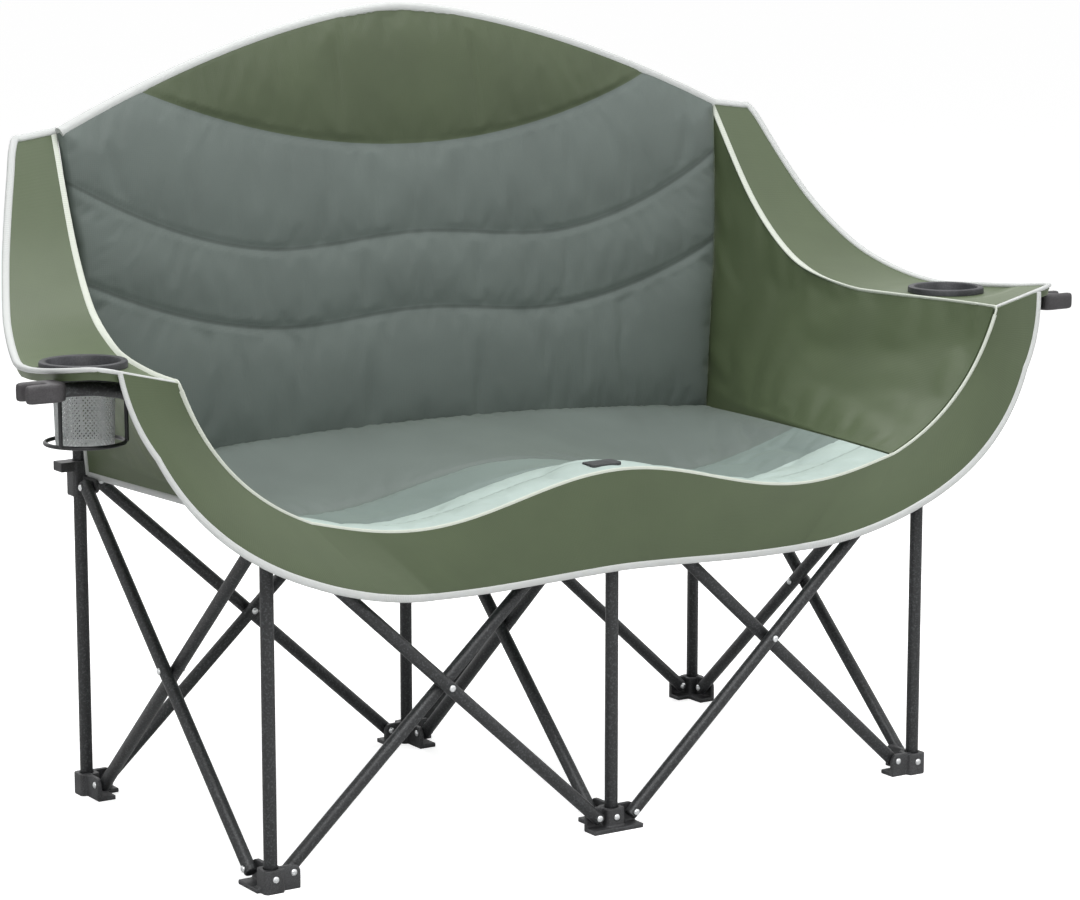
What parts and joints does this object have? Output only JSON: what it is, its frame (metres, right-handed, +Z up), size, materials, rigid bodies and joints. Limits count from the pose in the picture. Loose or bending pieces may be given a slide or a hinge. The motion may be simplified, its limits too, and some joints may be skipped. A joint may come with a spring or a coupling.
{
  "type": "folding camping loveseat",
  "caption": "Padded folding camping loveseat with fabric sides, a headrest, and armrests with cup holders and glass clips, on a scissor-braced frame of steel tubes.",
  "frame": {"origin": "on the floor below the middle of the object's box, between the front and rear posts", "axes": "+X along the seat's width, to the right as seen from the front; +Y to the back; +Z up"},
  "size_m": [1.4926, 0.548, 0.979],
  "materials": {
    "coated_steel_tube": "speckled powder coat",
    "moulded_plastic": "fine grain",
    "rivet_steel": "bright zinc",
    "green_polyester": "woven, matt",
    "back_polyester": "woven, padded",
    "seat_polyester": "woven, padded",
    "pocket_mesh": "open mesh",
    "coated_wire": "satin coat"
  },
  "bodies": {
    "front_left_leg": {"front_left_foot": "moulded_plastic", "front_left_post": "coated_steel_tube"},
    "front_center_leg": {"front_center_foot": "moulded_plastic", "front_center_post": "coated_steel_tube"},
    "front_right_leg": {"front_right_foot": "moulded_plastic", "front_right_post": "coated_steel_tube"},
    "rear_left_leg": {"rear_left_foot": "moulded_plastic", "rear_left_post": "coated_steel_tube"},
    "rear_center_leg": {"rear_center_foot": "moulded_plastic", "rear_center_post": "coated_steel_tube"},
    "rear_right_leg": {"rear_right_foot": "moulded_plastic", "rear_right_post": "coated_steel_tube"},
    "front_left_brace_outer": {"front_left_brace_outer": "coated_steel_tube", "front_left_cross_rivet": "rivet_steel"},
    "front_left_brace_inner": {"front_left_brace_inner": "coated_steel_tube"},
    "front_right_brace_outer": {"front_right_brace_outer": "coated_steel_tube", "front_right_cross_rivet": "rivet_steel"},
    "front_right_brace_inner": {"front_right_brace_inner": "coated_steel_tube"},
    "center_brace_outer": {"center_brace_outer": "coated_steel_tube", "center_cross_rivet": "rivet_steel"},
    "center_brace_inner": {"center_brace_inner": "coated_steel_tube"},
    "left_side_brace_outer": {"left_side_brace_outer": "coated_steel_tube", "left_side_cross_rivet": "rivet_steel"},
    "left_side_brace_inner": {"left_side_brace_inner": "coated_steel_tube"},
    "right_side_brace_outer": {"right_side_brace_outer": "coated_steel_tube", "right_side_cross_rivet": "rivet_steel"},
    "right_side_brace_inner": {"right_side_brace_inner": "coated_steel_tube"},
    "rear_left_brace_outer": {"rear_left_brace_outer": "coated_steel_tube", "rear_left_cross_rivet": "rivet_steel"},
    "rear_left_brace_inner": {"rear_left_brace_inner": "coated_steel_tube"},
    "rear_right_brace_outer": {"rear_right_brace_outer": "coated_steel_tube", "rear_right_cross_rivet": "rivet_steel"},
    "rear_right_brace_inner": {"rear_right_brace_inner": "coated_steel_tube"},
    "front_left_connector": {"front_left_connector": "moulded_plastic", "left_armrest": "green_polyester", "left_cup_ring": "moulded_plastic", "left_cup_housing": "moulded_plastic", "left_mesh_pocket": "pocket_mesh", "left_cup_basket": "coated_wire"},
    "front_center_connector": {"front_center_connector": "moulded_plastic", "seat_pad": "seat_polyester", "front_band": "green_polyester", "front_clamp_plate": "moulded_plastic"},
    "front_right_connector": {"front_right_connector": "moulded_plastic", "right_armrest": "green_polyester", "right_cup_ring": "moulded_plastic", "right_cup_housing": "moulded_plastic", "right_mesh_pocket": "pocket_mesh", "right_cup_basket": "coated_wire"},
    "rear_left_connector": {"rear_left_connector": "moulded_plastic", "left_side_panel": "green_polyester"},
    "rear_center_connector": {"rear_center_connector": "moulded_plastic", "back_pad": "back_polyester"},
    "rear_right_connector": {"rear_right_connector": "moulded_plastic", "right_side_panel": "green_polyester"},
    "left_arm": {"left_arm_support": "coated_steel_tube", "left_glass_clip": "moulded_plastic"},
    "right_arm": {"right_arm_support": "coated_steel_tube", "right_glass_clip": "moulded_plastic"}
  },
  "joints": [
    {"name": "frame_fold", "type": "hinge", "parent": "front_center_leg", "child": "front_left_brace_outer", "pos_m": [-0.027, -0.245, 0.02], "axis": [0, 1, 0], "range_deg": [0, 44], "deforming": ["seat_pad", "back_pad", "front_band", "left_side_panel", "right_side_panel", "left_armrest", "right_armrest"]},
    {"name": "front_left_cross_pivot", "type": "hinge", "parent": "front_left_brace_outer", "child": "front_left_brace_inner", "pos_m": [-0.235, -0.245, 0.2105], "axis": [0, -1, 0], "range_deg": [0, 88]},
    {"name": "front_left_foot_pivot", "type": "hinge", "parent": "front_left_brace_inner", "child": "front_left_leg", "pos_m": [-0.443, -0.245, 0.02], "axis": [0, 1, 0], "range_deg": [0, 44]},
    {"name": "front_left_connector_pivot", "type": "hinge", "parent": "front_left_brace_outer", "child": "front_left_connector", "pos_m": [-0.443, -0.245, 0.401], "axis": [0, -1, 0], "range_deg": [0, 44]},
    {"name": "front_center_connector_pivot", "type": "hinge", "parent": "front_left_brace_inner", "child": "front_center_connector", "pos_m": [-0.027, -0.245, 0.401], "axis": [0, 1, 0], "range_deg": [0, 44]},
    {"name": "front_right_outer_pivot", "type": "hinge", "parent": "front_center_leg", "child": "front_right_brace_outer", "pos_m": [0.027, -0.245, 0.02], "axis": [0, -1, 0], "range_deg": [0, 44]},
    {"name": "front_right_cross_pivot", "type": "hinge", "parent": "front_right_brace_outer", "child": "front_right_brace_inner", "pos_m": [0.235, -0.245, 0.2105], "axis": [0, 1, 0], "range_deg": [0, 88]},
    {"name": "front_right_foot_pivot", "type": "hinge", "parent": "front_right_brace_inner", "child": "front_right_leg", "pos_m": [0.443, -0.245, 0.02], "axis": [0, -1, 0], "range_deg": [0, 44]},
    {"name": "front_right_connector_pivot", "type": "hinge", "parent": "front_right_brace_outer", "child": "front_right_connector", "pos_m": [0.443, -0.245, 0.401], "axis": [0, 1, 0], "range_deg": [0, 44]},
    {"name": "center_outer_pivot", "type": "hinge", "parent": "front_center_leg", "child": "center_brace_outer", "pos_m": [0, -0.208, 0.02], "axis": [1, 0, 0], "range_deg": [0, 44]},
    {"name": "center_cross_pivot", "type": "hinge", "parent": "center_brace_outer", "child": "center_brace_inner", "pos_m": [0, 0, 0.2105], "axis": [-1, 0, 0], "range_deg": [0, 88]},
    {"name": "rear_center_foot_pivot", "type": "hinge", "parent": "center_brace_inner", "child": "rear_center_leg", "pos_m": [0, 0.208, 0.02], "axis": [1, 0, 0], "range_deg": [0, 44]},
    {"name": "rear_center_connector_pivot", "type": "hinge", "parent": "center_brace_outer", "child": "rear_center_connector", "pos_m": [0, 0.208, 0.401], "axis": [-1, 0, 0], "range_deg": [0, 44]},
    {"name": "left_side_outer_pivot", "type": "hinge", "parent": "front_left_leg", "child": "left_side_brace_outer", "pos_m": [-0.47, -0.208, 0.02], "axis": [1, 0, 0], "range_deg": [0, 44]},
    {"name": "left_side_cross_pivot", "type": "hinge", "parent": "left_side_brace_outer", "child": "left_side_brace_inner", "pos_m": [-0.47, 0, 0.2105], "axis": [-1, 0, 0], "range_deg": [0, 88]},
    {"name": "rear_left_foot_pivot", "type": "hinge", "parent": "left_side_brace_inner", "child": "rear_left_leg", "pos_m": [-0.47, 0.208, 0.02], "axis": [1, 0, 0], "range_deg": [0, 44]},
    {"name": "rear_left_connector_pivot", "type": "hinge", "parent": "left_side_brace_outer", "child": "rear_left_connector", "pos_m": [-0.47, 0.208, 0.401], "axis": [-1, 0, 0], "range_deg": [0, 44]},
    {"name": "right_side_outer_pivot", "type": "hinge", "parent": "front_right_leg", "child": "right_side_brace_outer", "pos_m": [0.47, -0.208, 0.02], "axis": [1, 0, 0], "range_deg": [0, 44]},
    {"name": "right_side_cross_pivot", "type": "hinge", "parent": "right_side_brace_outer", "child": "right_side_brace_inner", "pos_m": [0.47, 0, 0.2105], "axis": [-1, 0, 0], "range_deg": [0, 88]},
    {"name": "rear_right_foot_pivot", "type": "hinge", "parent": "right_side_brace_inner", "child": "rear_right_leg", "pos_m": [0.47, 0.208, 0.02], "axis": [1, 0, 0], "range_deg": [0, 44]},
    {"name": "rear_right_connector_pivot", "type": "hinge", "parent": "right_side_brace_outer", "child": "rear_right_connector", "pos_m": [0.47, 0.208, 0.401], "axis": [-1, 0, 0], "range_deg": [0, 44]},
    {"name": "rear_left_outer_pivot", "type": "hinge", "parent": "rear_center_leg", "child": "rear_left_brace_outer", "pos_m": [-0.027, 0.245, 0.02], "axis": [0, 1, 0], "range_deg": [0, 44]},
    {"name": "rear_left_cross_pivot", "type": "hinge", "parent": "rear_left_brace_outer", "child": "rear_left_brace_inner", "pos_m": [-0.235, 0.245, 0.2105], "axis": [0, -1, 0], "range_deg": [0, 88]},
    {"name": "rear_right_outer_pivot", "type": "hinge", "parent": "rear_center_leg", "child": "rear_right_brace_outer", "pos_m": [0.027, 0.245, 0.02], "axis": [0, -1, 0], "range_deg": [0, 44]},
    {"name": "rear_right_cross_pivot", "type": "hinge", "parent": "rear_right_brace_outer", "child": "rear_right_brace_inner", "pos_m": [0.235, 0.245, 0.2105], "axis": [0, 1, 0], "range_deg": [0, 88]},
    {"name": "left_arm_pivot", "type": "hinge", "parent": "front_left_connector", "child": "left_arm", "pos_m": [-0.495, -0.245, 0.42], "axis": [0, 1, 0], "range_deg": [0, 44]},
    {"name": "right_arm_pivot", "type": "hinge", "parent": "front_right_connector", "child": "right_arm", "pos_m": [0.495, -0.245, 0.42], "axis": [0, -1, 0], "range_deg": [0, 44]}
  ],
  "couplings": [
    {"joint": "front_left_cross_pivot", "follows": "frame_fold", "ratio": 2},
    {"joint": "front_left_foot_pivot", "follows": "frame_fold", "ratio": 1},
    {"joint": "front_left_connector_pivot", "follows": "frame_fold", "ratio": 1},
    {"joint": "front_center_connector_pivot", "follows": "frame_fold", "ratio": 1},
    {"joint": "front_right_outer_pivot", "follows": "frame_fold", "ratio": 1},
    {"joint": "front_right_cross_pivot", "follows": "frame_fold", "ratio": 2},
    {"joint": "front_right_foot_pivot", "follows": "frame_fold", "ratio": 1},
    {"joint": "front_right_connector_pivot", "follows": "frame_fold", "ratio": 1},
    {"joint": "center_outer_pivot", "follows": "frame_fold", "ratio": 1},
    {"joint": "center_cross_pivot", "follows": "frame_fold", "ratio": 2},
    {"joint": "rear_center_foot_pivot", "follows": "frame_fold", "ratio": 1},
    {"joint": "rear_center_connector_pivot", "follows": "frame_fold", "ratio": 1},
    {"joint": "left_side_outer_pivot", "follows": "frame_fold", "ratio": 1},
    {"joint": "left_side_cross_pivot", "follows": "frame_fold", "ratio": 2},
    {"joint": "rear_left_foot_pivot", "follows": "frame_fold", "ratio": 1},
    {"joint": "rear_left_connector_pivot", "follows": "frame_fold", "ratio": 1},
    {"joint": "right_side_outer_pivot", "follows": "frame_fold", "ratio": 1},
    {"joint": "right_side_cross_pivot", "follows": "frame_fold", "ratio": 2},
    {"joint": "rear_right_foot_pivot", "follows": "frame_fold", "ratio": 1},
    {"joint": "rear_right_connector_pivot", "follows": "frame_fold", "ratio": 1},
    {"joint": "rear_left_outer_pivot", "follows": "frame_fold", "ratio": 1},
    {"joint": "rear_left_cross_pivot", "follows": "frame_fold", "ratio": 2},
    {"joint": "rear_right_outer_pivot", "follows": "frame_fold", "ratio": 1},
    {"joint": "rear_right_cross_pivot", "follows": "frame_fold", "ratio": 2},
    {"joint": "left_arm_pivot", "follows": "frame_fold", "ratio": 1},
    {"joint": "right_arm_pivot", "follows": "frame_fold", "ratio": 1}
  ]
}
